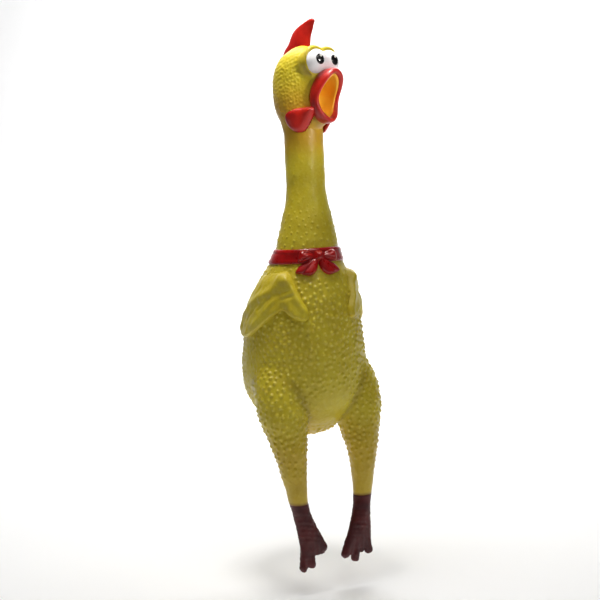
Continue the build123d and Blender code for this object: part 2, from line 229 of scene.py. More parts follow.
# Wing outline and ridges: (degrees round from the front, height)
WING_OUTLINE = (
    (75, -89), (63, -88), (53, -87.5), (45, -92), (38.5, -100), (28.5, -114),
    (22.5, -122.5), (22, -129.5), (26, -132.5), (34, -130.5), (42, -126), (48.5, -122.5),
    (58, -127), (67.5, -134.5), (79, -141.5), (89, -146.5), (102, -148.5), (114, -146),
    (122, -138), (122.5, -122), (118.5, -106), (108, -94), (92, -90),
)
WING_RISE = 4.2
WING_RIDGES = (             # (height, width, line)
    (1.3, 3.6, ((47, -93), (40.5, -101), (31, -115), (25.5, -124), (25, -129))),
    (2.8, 5.5, ((56, -93.5), (51, -95.5))),
    (-1.7, 6, ((56, -109), (53, -114), (48.5, -122))),
    (1.6, 4, ((62, -101), (72, -106), (84, -110), (98, -117), (110, -127), (114, -139))),
    (0.8, 3, ((58, -112), (70, -124), (84, -137))),
    (0.7, 3, ((52, -108), (44, -117), (34, -127))),
)
WING_CREASES = (
    ((54, -107.5), (43, -104)),
    ((50, -112), (39, -109)),
    ((66, -111), (78, -122)),
    ((80, -116), (96, -132)),
)
BODY_RADIUS = 50.0          # turns degrees round the body into millimetres
BAND_MIDDLE = -74.0
BAND_HALF = 6.6
BAND_PROUD = 2.3
BOW_RADIUS = 31.0
# The bow, flattened: (across, up) from the knot's middle
LOOP_OUTLINE = ((2.5, 0), (8, 4.5), (14, 6), (17.5, 4), (18, -3), (15, -6), (8, -4.5))
LOOP_CREASES = (((3.0, 0.2), (12, 3.2)), ((3.0, 0.2), (13, -2.4)))
TAIL_OUTLINE = (
    (0.3, -2), (8, -4), (15, -8.5), (17.5, -14.5), (12.5, -16.5), (6, -17.5), (1.2, -11.5),
)
TAIL_CREASE = ((4.5, -5), (11.5, -15))
KNOT_OUTLINE = (
    (-4.4, 0), (-3.6, 4.2), (0, 5.2), (3.6, 4.2), (4.4, 0), (3.6, -4.2), (0, -5.2), (-3.6, -4.2),
)
KNOT_CREASES = (((-1.6, -4), (-0.96, 4)), ((1.4, -4), (0.84, 4)))

# The studio, in metres
FLOOR_GAP = 0.02            # from the toes down to the floor
FLOOR_AZIMUTH = 27.0        # degrees, which way the backdrop stands
FLOOR_ENDS = (-1.6, 1.2)    # the level stretch
FLOOR_SIDES = (-3.2, 3.2)
SWEEP_RADIUS = 0.9          # of the curve from the floor up to the backdrop
BACKDROP_TOP = 3.2
CAMERA_AIM = Vector((0, 0, -0.116))
CAMERA_DISTANCE = 1.1
CAMERA_AZIMUTH = -27.0
CAMERA_ELEVATION = 4.0
CAMERA_ROLL = 2.5
CAMERA_LENS = 71.0
CAMERA_SHIFT = -0.018

dice = np.random.default_rng(7)


# ---- smooth tables and outlines
def smooth_rows(table, key):
    """The columns of a table after its first, joined smoothly from row to row, at each key."""
    table = np.array(sorted(table), float)
    keys, values = table[:, 0], table[:, 1:]
    slopes = np.gradient(values, keys, axis=0)
    key = np.clip(key, keys[0], keys[-1])
    row = np.clip(np.searchsorted(keys, key) - 1, 0, len(keys) - 2)
    span = (keys[row + 1] - keys[row])[..., None]
    t = (key - keys[row])[..., None] / span
    near = values[row] * (1 + 2 * t) * (1 - t) ** 2 + slopes[row] * span * t * (1 - t) ** 2
    far = values[row + 1] * t * t * (3 - 2 * t) - slopes[row + 1] * span * t * t * (1 - t)
    return np.moveaxis(near + far, -1, 0)


def oval_at(ovals, height):
    """Forward, half width, half depth and sideways place of a column at each height."""
    squared = [(z, f, w * w, d * d, sum(s)) for z, f, w, d, *s in ovals]
    forward, width, depth, sideways = smooth_rows(squared, height)
    return forward, np.sqrt(np.maximum(width, 0.01)), np.sqrt(np.maximum(depth, 0.01)), sideways


def smooth_loop(outline, steps=8):
    """A closed curve through the points of an outline."""
    p = np.array(outline, float)
    before, after, beyond = np.roll(p, 1, 0), np.roll(p, -1, 0), np.roll(p, -2, 0)
    t = (np.arange(steps) / steps)[None, :, None]
    a, b, c, d = (q[:, None, :] for q in (before, p, after, beyond))
    curve = b + 0.5 * t * (c - a + t * (2 * a - 5 * b + 4 * c - d + t * (3 * (b - c) + d - a)))
    return curve.reshape(-1, 2)


def line_distance(points, line):
    """Distance of flat points from a run of straight segments."""
    line = np.asarray(line, float)
    best = np.full(points.shape[:-1], 1e9)
    for a, b in zip(line[:-1], line[1:]):
        along = b - a
        t = np.clip(((points - a) @ along) / max(along @ along, 1e-9), 0, 1)
        best = np.minimum(best, np.linalg.norm(points - a - t[..., None] * along, axis=-1))
    return best


def ridge(points, line, width):
    """1 on a line, falling smoothly to 0 beside it."""
    return np.exp(-(line_distance(points, line) / width) ** 2)


def depth_inside(points, loop):
    """Distance of flat points from a closed loop, positive inside it."""
    inside = np.zeros(points.shape[:-1], bool)
    x, y = points[..., 0], points[..., 1]
    for (ax, ay), (bx, by) in zip(loop, np.roll(loop, -1, 0)):
        if ay != by:
            inside ^= ((ay > y) != (by > y)) & (x < (bx - ax) * (y - ay) / (by - ay) + ax)
    distance = line_distance(points, np.vstack([loop, loop[:1]]))
    return np.where(inside, distance, -distance)


def fade(value, start, end):
    """0 before start, 1 after end, smooth between."""
    t = np.clip((value - start) / (end - start), 0, 1)
    return t * t * (3 - 2 * t)


def turned(points, degrees):
    """Points turned about the neck's axis."""
    c, s = cos(radians(degrees)), sin(radians(degrees))
    x, y = points[..., 0], points[..., 1]
    return np.stack([c * x - s * y, s * x + c * y, points[..., 2]], -1)


def mirrored(points):
    """Points with those on the right side brought over to the left."""
    return np.concatenate([np.abs(points[..., :1]), points[..., 1:]], -1)


def place(sideways, forward, height):
    """Points from bird coordinates."""
    axes = np.broadcast_arrays(sideways, -np.asarray(forward, float), height)
    return np.stack(axes, -1).astype(float)


# ---- fields: negative inside
def column(ovals, points):
    """Roughly the distance from a column of level ovals."""
    height = points[..., 2]
    forward, width, depth, sideways = oval_at(ovals, height)
    x, y = points[..., 0] - sideways, points[..., 1] + forward
    near = np.sqrt((x / width) ** 2 + (y / depth) ** 2) + 1e-9
    slope = np.sqrt((x / width ** 2) ** 2 + (y / depth ** 2) ** 2) + 1e-9
    flat = near * (near - 1) / slope
    heights = [row[0] for row in ovals]
    over = np.maximum(np.maximum(height - max(heights), min(heights) - height), 0)
    return np.where(over > 0, np.sqrt(np.maximum(flat, 0) ** 2 + over ** 2), flat)


def joined(a, b, round_off):
    """Two fields joined with a rounded valley."""
    h = np.clip(0.5 + 0.5 * (b - a) / round_off, 0, 1)
    return b + (a - b) * h - round_off * h * (1 - h)


def capsule(points, start, end, radii):
    """A rod with round ends that tapers from one radius to the other."""
    start, along = np.array(start, float), np.array(end, float) - np.array(start, float)
    t = np.clip(((points - start) @ along) / (along @ along), 0, 1)
    distance = np.linalg.norm(points - start - t[..., None] * along, axis=-1)
    return distance - (radii[0] + (radii[1] - radii[0]) * t)


def brow(points, side):
    """The ridge that arches over one eye, thin at both ends, and the eye's socket."""
    u = points[..., 0] * side - EYE_CENTRE[0]
    v = -points[..., 1] - EYE_CENTRE[1] - BROW_AHEAD
    w = points[..., 2] - EYE_CENTRE[2]
    angle = np.degrees(np.arctan2(w, u))
    thinner = (1 - 0.35 * fade(angle, 95, 140)) * (1 - fade(angle, 140, 176))
    thickness = BROW_THICKNESS * fade(angle, 10, 60) * thinner
    ring = np.sqrt((np.sqrt(u * u + w * w) - EYE_RADIUS - 0.7) ** 2 + v * v)
    socket = np.sqrt(u * u + w * w + (v + BROW_AHEAD + SOCKET_BACK) ** 2) - SOCKET_RADIUS
    return joined(ring - thickness, socket, 3)


def head_field(points):
    """Skull, snout, throat and brows above the cut, the neck below it, less the mouth."""
    local = turned(points, -HEAD_TURN)
    upper = column(HEAD_OVALS, local)
    upper = joined(upper, column(MUZZLE_OVALS, local), 5)
    for side in SIDES.values():
        upper = joined(upper, brow(local, side), 4.5)
    x, forward, z = local[..., 0], -local[..., 1], local[..., 2] - MOUTH_CENTRE
    half_width, half_height = MOUTH_OVAL
    opening = np.sqrt((x / (half_width + 1)) ** 2 + (z / (half_height + 1)) ** 2) - 1
    pocket = np.maximum(opening * half_width, MOUTH_BACK - 1.5 - forward)
    upper = -joined(-upper, pocket, 1.0)
    return np.where(points[..., 2] > NECK_CUT, upper, column(NECK_OVALS, points))


def body_field(points):
    """Belly, thighs and legs, as far as the ankles."""
    round_off = 4 + 7 * fade(points[..., 2], -214, -186)
    return joined(column(TORSO_OVALS, points), column(LEG_OVALS, mirrored(points)), round_off)


def foot_field(side):
    """One webbed foot: a flat instep that spreads into three ridged toes."""
    sign = SIDES[side]

    def field(points):
        local = points * (sign, 1, 1)
        shape = column(FOOT_OVALS, local)
        tips, root = TOE_TIPS[side], place(*TOE_ROOT)
        for across, height in tips:
            toe = capsule(local, root, place(across, TOE_FORWARD, height), TOE_RADII)
            shape = joined(shape, toe, 2.0)
        for (here, height), (there, other) in zip(tips[:-1], tips[1:]):
            web = place((here + there) / 2, TOE_FORWARD, max(height, other) + WEB_SHORT)
            shape = joined(shape, capsule(local, root, web, WEB_RADII), 2.2)
        return shape
    return field


def eye_middle(sign):
    """The middle of one eyeball, before the head is turned."""
    return place(sign * EYE_CENTRE[0], *EYE_CENTRE[1:])


def eyeballs(local):
    """Distance from each eyeball, before the head is turned."""
    return [np.linalg.norm(local - eye_middle(sign), axis=-1) - EYE_RADIUS
            for sign in SIDES.values()]


def eye_field(points):
    """Two eyeballs that run together."""
    return joined(*eyeballs(turned(points, -HEAD_TURN)), EYE_JOIN)


# ---- field to mesh
def summed(index, values, size):
    """The sum of the rows of values that share an index, for every index."""
    return np.stack([np.bincount(index, column_values, size) for column_values in values.T], 1)


def surface(field, low, high, step):
    """Points and square faces of a field's zero surface inside a box."""
    axes = [np.arange(a, b + step, step) for a, b in zip(low, high)]
    value = field(np.stack(np.meshgrid(*axes, indexing="ij"), -1))
    cells = tuple(n - 1 for n in value.shape)
    total, count, faces = np.zeros((np.prod(cells), 3)), np.zeros(np.prod(cells)), []
    for order in ((0, 1, 2), (1, 2, 0), (2, 0, 1)):
        along = np.moveaxis(value, order, (0, 1, 2))
        first, second = along[:-1, 1:-1, 1:-1], along[1:, 1:-1, 1:-1]
        index = np.argwhere((first < 0) != (second < 0))
        rows = tuple(index.T)
        spot = np.zeros((len(index), 3))
        spot[:, order] = index + (0, 1, 1)
        spot[:, order[0]] += first[rows] / (first[rows] - second[rows])
        corners = []
        for shift in ((0, 0, 0), (0, 1, 0), (0, 1, 1), (0, 0, 1)):
            cell = np.zeros_like(index)
            cell[:, order] = index + shift
            flat = np.ravel_multi_index(tuple(cell.T), cells)
            corners.append(flat)
            count += np.bincount(flat, minlength=len(count))
            total += summed(flat, spot, len(count))
        quads = np.stack(corners, 1)
        quads[first[rows] >= 0] = quads[first[rows] >= 0][:, ::-1]
        faces.append(quads)
    used, faces = np.unique(np.vstack(faces), return_inverse=True)
    points = total[used] / count[used, None] * step + np.array(low, float)
    faces = faces.reshape(-1, 4)
    points, faces = divided(settled(relaxed(points, faces), field, step), faces)
    return settled(relaxed(points, faces), field, step), faces


def relaxed(points, faces):
    """Points moved half way to the middle of their neighbours, which evens the squares."""
    total, size = 0, len(points)
    for k in range(4):
        for other in (1, 3):
            total = total + summed(faces[:, k], points[faces[:, (k + other) % 4]], size)
    count = 2 * np.bincount(faces.ravel(), minlength=size)
    return 0.5 * points + 0.5 * total / count[:, None]


def divided(points, faces):
    """Each square cut into four."""
    n = len(points)
    edges = np.sort(np.stack([faces, np.roll(faces, -1, 1)], -1).reshape(-1, 2), 1)
    unique, index = np.unique(edges[:, 0] * n + edges[:, 1], return_inverse=True)
    index = index.reshape(-1, 4) + n
    middles = (points[unique // n] + points[unique % n]) / 2
    centres = n + len(unique) + np.arange(len(faces))
    smaller = [np.stack([faces[:, k], index[:, k], centres, index[:, k - 1]], 1) for k in range(4)]
    return np.vstack([points, middles, points[faces].mean(1)]), np.vstack(smaller)


def settled(points, field, step):
    """Points dropped onto the field's zero surface, down its slope."""
    reach = 0.2
    for _ in range(2):
        sides = [field(points + s) - field(points - s) for s in np.eye(3) * reach]
        slope = np.stack(sides, -1) / (2 * reach)
        drop = field(points) / np.maximum((slope ** 2).sum(-1), 0.2)
        points = points - slope * np.clip(drop, -step / 2, step / 2)[:, None]
    return points


def point_normals(points, faces):
    """Smooth normals, from the faces round each point."""
    a, b, c, d = (points[faces[:, k]] for k in range(4))
    across = np.cross(c - a, d - b)
    normal = sum(summed(faces[:, k], across, len(points)) for k in range(4))
    return normal / np.maximum(np.linalg.norm(normal, axis=1), 1e-9)[:, None]


def raised(points, faces, height):
    """Points moved out along their normals, and the normals that they then have."""
    points = points + point_normals(points, faces) * height[:, None]
    return points, point_normals(points, faces)


# ---- pimples
def scattered(points, spacing):
    """Indices of points picked at random, each at least its own spacing from the rest."""
    order = dice.permutation(len(points))[: int(0.7 * len(points))]
    cell, grid, chosen = spacing.max(), {}, []
    keys = np.floor(points / cell).astype(int)
    for i in order:
        x, y, z = keys[i]
        near = [j for dx in (-1, 0, 1) for dy in (-1, 0, 1) for dz in (-1, 0, 1)
                for j in grid.get((x + dx, y + dy, z + dz), ())]
        if all(dist(points[i], points[j]) > spacing[i] for j in near):
            grid.setdefault((x, y, z), []).append(i)
            chosen.append(i)
    return np.array(chosen)


def pimpled(points, spacing, radius, height):
    """Height at each point of round pimples whose size is given there."""
    wanted = np.flatnonzero(height > 0.02)
    centres = wanted[scattered(points[wanted], spacing[wanted])]
    tree = KDTree(len(points))
    for i, p in enumerate(points):
        tree.insert(p, i)
    tree.balance()
    rise = np.zeros(len(points))
    size = dice.uniform(0.8, 1.2, len(centres))
    for i, grow in zip(centres, size):
        reach, top = radius[i] * grow, height[i] * grow
        for _, j, distance in tree.find_range(points[i], reach):
            rise[j] = max(rise[j], top * (1 - (distance / reach) ** 2) ** 1.5)
    return rise


def wavy(points, size, seed):
    """Slow random unevenness between -1 and 1."""
    waves = np.random.default_rng(seed)
    total = np.zeros(len(points))
    for _ in range(9):
        direction = waves.normal(size=3)
        direction *= waves.uniform(0.7, 1.6) / np.linalg.norm(direction) / size
        total += np.sin(points @ direction * 2 * pi + waves.uniform(0, 7))
    return total / 4.5


# ---- meshes
def linked(name, data):
    """A new object in the scene."""
    made = bpy.data.objects.new(name, data)
    scene.collection.objects.link(made)
    return made


def make_piece(name, points, faces, material, normals=None, values=None):
    """A smooth-shaded object from points in millimetres, with values at its points."""
    mesh = bpy.data.meshes.new(name)
    mesh.from_pydata((points * METRES).tolist(), [], [list(map(int, f)) for f in faces])
    mesh.update()
    mesh.shade_smooth()
    rest = mesh.attributes.new("rest", "FLOAT_VECTOR", "POINT")
    rest.data.foreach_set("vector", (points * METRES * TEXTURE_SCALE).astype(np.float32).ravel())
    for label, value in (values or {}).items():
        layer = mesh.attributes.new(label, "FLOAT", "POINT")
        layer.data.foreach_set("value", value.astype(np.float32))
    if normals is not None:
        mesh.normals_split_custom_set_from_vertices(normals.tolist())
    mesh.materials.append(material)
    return linked(name, mesh)


def open_edges(faces):
    """The directed edges of a mesh that only one face has."""
    ahead = np.stack([faces, np.roll(faces, -1, 1)], -1).swapaxes(0, 1).reshape(-1, 2)
    n = faces.max() + 1
    return ahead[~np.isin(ahead[:, 0] * n + ahead[:, 1], ahead[:, 1] * n + ahead[:, 0])]


def closing_fans(points, faces):
    """A new middle point and a fan of triangles for each open loop of a mesh."""
    ahead = {}
    for a, b in open_edges(faces).tolist():
        ahead.setdefault(a, []).append(b)
    middles, fans = [], []
    while ahead:
        loop = [next(iter(ahead))]
        while True:
            there = ahead[loop[-1]].pop()
            if not ahead[loop[-1]]:
                del ahead[loop[-1]]
            if there == loop[0]:
                break
            loop.append(there)
        middle = len(points) + len(middles)
        middles.append(points[loop].mean(0))
        fans += [(after, before, middle) for before, after in zip(loop, loop[1:] + loop[:1])]
    return middles, fans


def cut_piece(name, skin, keep, material):
    """The closed piece of a skin whose faces are kept."""
    points, faces, normals, values = skin
    used, index = np.unique(faces[keep], return_inverse=True)
    faces = index.reshape(-1, 4)
    middles, fans = closing_fans(points[used], faces)
    extra = len(middles)
    points = np.vstack([points[used], *middles])
    normals = np.vstack([normals[used], np.tile((0.0, 0.0, 1.0), (extra, 1))])
    values = {label: np.append(value[used], np.zeros(extra)) for label, value in values.items()}
    return make_piece(name, points, faces.tolist() + fans, material, normals, values)


def grid_piece(name, grid, material, loop_rows=False):
    """A closed piece from a grid of points whose columns run round. Open ends get a fan."""
    rows, columns = grid.shape[:2]
    points = grid.reshape(-1, 3)
    number = np.arange(rows * columns).reshape(rows, columns)
    if loop_rows:
        number = np.vstack([number, number[:1]])
    here, there = number[:-1], number[1:]
    faces = np.stack([here, np.roll(here, -1, 1), np.roll(there, -1, 1), there], -1).reshape(-1, 4)
    middles, fans = closing_fans(points, faces)
    points, faces = np.vstack([points, *middles]), faces.tolist() + fans
    if volume_of(points, faces) < 0:
        faces = [f[::-1] for f in faces]
    return make_piece(name, points, faces, material)


def volume_of(points, faces):
    """Signed volume, six times over, positive if the faces look outwards."""
    corners = [(f[0], f[k], f[k + 1]) for f in faces for k in range(1, len(f) - 1)]
    a, b, c = (points[list(column_of)] for column_of in zip(*corners))
    return np.sum(a * np.cross(b, c))


def relief_piece(name, across, up, rise, placed, material, sink=1.6, edge=-0.7):
    """A closed shell standing on the body, wherever rise is above the edge value."""
    number = np.arange(rise.size).reshape(rise.shape)
    keep = rise > edge
    cells = keep[:-1, :-1] & keep[1:, :-1] & keep[1:, 1:] & keep[:-1, 1:]
    corners = (number[:-1, :-1], number[1:, :-1], number[1:, 1:], number[:-1, 1:])
    top = np.stack([c[cells] for c in corners], 1)
    under = top[:, ::-1] + rise.size
    a, b = open_edges(top).T
    walls = np.stack([b, a, a + rise.size, b + rise.size], 1)
    points = np.vstack([placed(across, up, rise).reshape(-1, 3),
                        placed(across, up, np.minimum(rise, 0) - sink).reshape(-1, 3)])
    used, index = np.unique(np.vstack([top, under, walls]), return_inverse=True)
    faces = index.reshape(-1, 4)
    if volume_of(points[used], faces[: len(top)]) < 0:
        faces = faces[:, ::-1]
    return make_piece(name, points[used], faces.tolist(), material)


def round_body(degrees, height, proud):
    """Points that stand proud of the body, at an angle round from its front."""
    forward, width, depth, _ = oval_at(TORSO_OVALS, height)
    angle = np.radians(degrees)
    s, c = np.sin(angle), np.cos(angle)
    reach = width * depth / np.sqrt((depth * s) ** 2 + (width * c) ** 2) + proud
    return place(reach * s, forward + reach * c, height)


# ---- materials
class Look:
    """A material being built. Its textures follow the piece's own rest shape, or the object."""

    def __init__(self, name, own_shape=True):
        self.own_shape = own_shape
        self.material = bpy.data.materials.new(name)
        self.material.use_nodes = True
        self.nodes = self.material.node_tree.nodes
        self.links = self.material.node_tree.links
        self.shader = self.nodes["Principled BSDF"]

    def set(self, **values):
        for label, value in values.items():
            self.shader.inputs[label.replace("_", " ")].default_value = value
        return self

    def node(self, kind, **inputs):
        made = self.nodes.new(f"ShaderNode{kind}")
        for label, value in inputs.items():
            made.inputs[label].default_value = value
        return made

    def attribute(self, label, output):
        node = self.node("Attribute")
        node.attribute_name = label
        return node.outputs[output]

    def noise(self, scale, detail=3.0, roughness=0.5):
        """Noise of so many lumps per 10 mm, which never slides on the piece."""
        spot = self.attribute("rest", "Vector")
        if not self.own_shape:
            spot = self.node("TexCoord").outputs["Object"]
            scale *= TEXTURE_SCALE
        node = self.node("TexNoise", Scale=scale, Detail=detail, Roughness=roughness)
        self.links.new(spot, node.inputs["Vector"])
        return node.outputs["Fac"]

    def ranged(self, value, *limits):
        """A value taken from one range to another: low, high, new low, new high."""
        node = self.node("MapRange")
        self.links.new(value, node.inputs["Value"])
        for label, limit in zip(("From Min", "From Max", "To Min", "To Max"), limits):
            node.inputs[label].default_value = limit
        return node.outputs["Result"]

    def mixed(self, factor, first, second):
        """Two colours, or a socket and a colour, mixed by a factor."""
        node = self.node("Mix")
        node.data_type = "RGBA"
        self.links.new(factor, node.inputs["Factor"])
        for slot, colour in ((6, first), (7, second)):
            if isinstance(colour, tuple):
                node.inputs[slot].default_value = linear(colour)
            else:
                self.links.new(colour, node.inputs[slot])
        return node.outputs[2]

    def bump(self, height, distance, below=None):
        node = self.node("Bump", Distance=distance * METRES, Strength=1.0)
        self.links.new(height, node.inputs["Height"])
        if below is not None:
            self.links.new(below, node.inputs["Normal"])
        return node.outputs["Normal"]

    def feed(self, label, output):
        self.links.new(output, self.shader.inputs[label])
        return self


def linear(colour):
    """A colour given as 0-255 screen values, for a shader."""
    return tuple((c / 255) ** 2.2 for c in colour) + (1.0,)


def yellow_look():
    """Soft yellow vinyl: uneven pigment, painted highlights on the pimple tops, painted warm
    reflection and shade, painted shade in the hollows, paint drift at the ankles.
    """
    look = Look("yellow_vinyl").set(Coat_Weight=0.1, Coat_Roughness=0.25, IOR=1.5,
                                    Subsurface_Weight=0.12, Subsurface_Scale=0.004)
    look.shader.inputs["Subsurface Radius"].default_value = (1.0, 0.7, 0.15)
    cloudy = look.ranged(look.noise(0.35, 3), 0.35, 0.65, 0, 1)
    blotch = look.mixed(cloudy, (224, 203, 50), (208, 184, 40))
    fine = look.mixed(look.ranged(look.noise(4, 4), 0.4, 0.75, 0, 0.35), blotch, (234, 220, 92))
    # Painted highlight: the pimple tops are mixed towards pale yellow.
    pimple_highlight = look.ranged(look.attribute("pimple", "Fac"), 0.3, 1.0, 0, 0.2)
    highlit_tops = look.mixed(pimple_highlight, fine, (238, 226, 92))
    # Painted warm reflection and shade: darker orange on the cheeks, throat and lower legs.
    warm_light = look.mixed(look.attribute("warm_light", "Fac"), highlit_tops, (204, 148, 38))
    # Painted shade: darker ochre in the valleys between thighs and belly, and round the eyes.
    painted_shade = look.mixed(look.attribute("painted_shade", "Fac"), warm_light, (140, 112, 22))
    drift = look.mixed(look.attribute("drift", "Fac"), painted_shade, (122, 52, 30))
    look.feed("Base Color", drift)
    look.feed("Roughness", look.ranged(look.noise(1.6, 4), 0.3, 0.7, 0.36, 0.5))
    grain = look.bump(look.noise(11, 5, 0.6), 0.12)
    return look.feed("Normal", look.bump(look.noise(2.2, 3), 0.25, grain)).material


def gloss_look(name, light, dark, roughness=0.3, coat=0.6, grain=0.12, wear=None, own_shape=True):
    """Sprayed glossy paint on vinyl, uneven in tone and in shine."""
    look = Look(name, own_shape).set(Coat_Weight=coat, Coat_Roughness=0.16, IOR=1.5)
    colour = look.mixed(look.ranged(look.noise(0.7, 4), 0.35, 0.65, 0, 1), light, dark)
    if wear:
        colour = look.mixed(look.ranged(look.noise(3.4, 6, 0.7), 0.62, 0.72, 0, 0.5), colour, wear)
    look.feed("Base Color", colour)
    shine = look.ranged(look.noise(2.4, 4), 0.3, 0.7, roughness - 0.05, roughness + 0.09)
    look.feed("Roughness", shine)
    fine = look.bump(look.noise(9, 4, 0.6), grain)
    return look.feed("Normal", look.bump(look.noise(1.3, 2), grain * 2.5, fine)).material


yellow = yellow_look()
red = gloss_look("red_paint", (204, 40, 28), (172, 24, 20), 0.34, 0.3)
ribbon = gloss_look("ribbon_red", (190, 24, 22), (154, 14, 16), 0.3, 0.35)
orange = gloss_look("mouth_orange", (255, 196, 62), (250, 180, 48), 0.36, 0.2)
maroon = gloss_look("foot_maroon", (96, 30, 30), (74, 22, 24), 0.5, 0.08, 0.2, (108, 44, 40))
white = gloss_look("eye_white", (244, 243, 244), (234, 231, 234), 0.2, 0.5, 0.03)
black = gloss_look("eye_black", (12, 10, 12), (24, 20, 22), 0.18, 0.5, 0.03)
glint_white = gloss_look("glint_white", (226, 224, 214), (206, 202, 190), 0.3, 0.5, 0.03)
plastic = gloss_look("whistle_plastic", (226, 224, 216), (206, 204, 196), 0.4, 0.1, 0.08,
                     own_shape=False)
film = gloss_look("reed_film", (216, 216, 208), (196, 196, 190), 0.25, 0.2, 0.02, own_shape=False)
rubber = gloss_look("seal_rubber", (52, 50, 50), (36, 34, 34), 0.6, 0.0, 0.15, own_shape=False)


def finish_piece(piece, slot, body, *nodes):
    """Attaches a piece to its body and hides the CAD nodes that it stands for."""
    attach(piece, body)
    if nodes:
        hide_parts(*nodes)


def finish_blend(piece, slot, bodies, bend, *nodes):
    """Bakes the place of a piece of skin that spans two bodies into its mesh, and hides the CAD
    nodes it stands for.
    """
    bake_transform(piece)
    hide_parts(*nodes)


# ---- head and neck skin
def build_head_and_neck():
    """The skin from the crown down to the ribbon, cut in two at the middle of the grip."""
    points, faces = surface(head_field, *HEAD_SPACE)
    local = turned(points, -HEAD_TURN)
    forward, z = -local[:, 1], local[:, 2]
    eye_gap = np.minimum(*eyeballs(local))
    leather = fade(z, 34, 60) * (1 - 0.75 * fade(z, 98, 112)) * (1 - 0.8 * fade(forward, 12, 20))
    leather = leather * fade(eye_gap, 1, 5)
    bumpy = (1 - fade(z, 30, 44)) * (0.35 + 0.65 * (1 - fade(z, -46, -20)))
    on_head = z > 36
    spacing = np.where(on_head, 2.3, 5.6)
    radius = np.where(on_head, 1.6, 1.5)
    rise = pimpled(points, spacing, radius, np.where(on_head, 0.23 * leather, 0.55 * bumpy))
    wrinkles = 0.09 * np.sin(z * 1.5 - 0.5 * forward + 2 * wavy(points, 30, 3))
    swell = leather * (wrinkles + 0.14 * wavy(points, 5, 9)) + 0.22 * wavy(points, 16, 5)
    points, normals = raised(points, faces, rise + swell)
    # Painted shade round the eyes, and painted warm reflection and shade on the cheeks and throat.
    values = {"pimple": rise / 0.45, "painted_shade": 0.45 * (1 - fade(eye_gap, 0.4, 3.0)) * (z > 80),
              "warm_light": 0.75 * fade(z, 8, 34) * (1 - fade(z, 60, 92))}
    skin = (points, faces, normals, values)
    middle = points[faces].mean(1)[:, 2]
    head = cut_piece("head_skin_soft", skin, middle > NECK_CUT, yellow)
    neck = cut_piece("neck_skin_soft", skin, (middle <= NECK_CUT) & (middle > BAND_CUT), yellow)
    finish_blend(head, "yellow_vinyl", ("neck", "head"), HEAD_BEND, "head_skin")
    finish_blend(neck, "yellow_vinyl", ("neck", "torso"), NECK_BEND, "neck_skin")


# ---- body and leg skin
def build_body():
    """The skin from the ribbon down to the ankles, cut where the joints bend it."""
    points, faces = surface(body_field, *BODY_SPACE)
    x, forward, down = points[:, 0], -points[:, 1], -points[:, 2]
    below_paint = down + PAINT_LINE
    down_leg = 1 - 0.8 * fade(down, 236, 292)
    near_band = 0.5 + 0.5 * fade(down, 84, 112)
    between = 1 - 0.85 * fade(down, 186, 206) * (1 - fade(np.abs(x), 12, 24)) * fade(forward, 8, 20)
    angle = np.degrees(np.arctan2(np.abs(x), forward + 20))
    flank = fade(angle, 58, 80) * (1 - fade(angle, 115, 140))
    flank = flank * fade(down, 96, 120) * (1 - fade(down, 196, 222))
    strength = down_leg * near_band * between * (1 - 0.5 * flank)
    above_paint = 1 - fade(below_paint, -8, -2)
    spacing = 4.7 + 1.2 * (1 - near_band) + 0.8 * (1 - down_leg)
    rise = pimpled(points, spacing, 1.6 + 0.5 * strength, 1.2 * strength * above_paint)
    # Painted shade in the valley where each thigh leaves the belly, and painted warm reflection on
    # the lower legs.
    values = {"pimple": rise / 1.2, "painted_shade": 0.4 * thigh_valley(points),
              "warm_light": 0.35 * fade(down, 215, 260), "drift": 0.8 * fade(below_paint, -3.5, 0.5)}
    tucked = -0.7 * fade(below_paint, -0.3, 0.6)
    swell = 0.35 * wavy(points, 24, 11) * above_paint
    points, normals = raised(points, faces, rise + swell + tucked)
    skin = (points, faces, normals, values)
    mx, my, mz = points[faces].mean(1).T
    trunk = (mz <= BAND_CUT) & (mz > CROTCH_CUT)
    front = cut_piece("belly_skin_soft", skin, trunk & (my <= BACK_CUT), yellow)
    back = cut_piece("back_skin_soft", skin, trunk & (my > BACK_CUT), yellow)
    finish_piece(front, "yellow_vinyl", "torso", "torso_skin")
    finish_blend(back, "yellow_vinyl", ("torso", "back"), BACK_BEND, "back_panel", "torso_skin")
    for side, sign in SIDES.items():
        leg, foot = f"leg_{side}", f"foot_{side}"
        own = mx * sign > 0
        kept = own & (mz <= CROTCH_CUT) & (mz > KNEE_CUT)
        thigh = cut_piece(f"leg_skin_soft_{side}", skin, kept, yellow)
        kept = own & (mz <= KNEE_CUT) & (mz > FOOT_CUT)
        shin = cut_piece(f"shin_skin_soft_{side}", skin, kept, yellow)
        finish_blend(thigh, "yellow_vinyl", ("torso", leg), HIP_BEND, leg)
        finish_blend(shin, "yellow_vinyl", (leg, foot), ANKLE_BEND, leg)


def thigh_valley(points):
    """1 in the valley where a thigh leaves the belly, 0 away from it."""
    gap = np.abs(column(TORSO_OVALS, points) - column(LEG_OVALS, mirrored(points)))
    return (1 - fade(gap, 0.5, 6)) * fade(-points[:, 2], 172, 190)


def build_feet():
    """Painted feet that cap the ends of the legs."""
    *corners, step = FOOT_SPACE
    for side, sign in SIDES.items():
        low, high = np.sort(np.array(corners) * (sign, 1, 1), 0)
        points, faces = surface(foot_field(side), low, high, step)
        toes = fade(-points[:, 2], 306, 322)
        ridges = 0.12 * toes * np.sin(np.abs(points[:, 0]) * 1.3 + 1.6 * wavy(points, 18, 31))
        points, normals = raised(points, faces, ridges + 0.2 * wavy(points, 6, 29))
        kept = points[faces].mean(1)[:, 2] < PAINT_LINE
        leg, foot = f"leg_{side}", f"foot_{side}"
        piece = cut_piece(f"{foot}_painted", (points, faces, normals, {}), kept, maroon)
        finish_blend(piece, "foot_maroon", (leg, foot), ANKLE_BEND, foot)


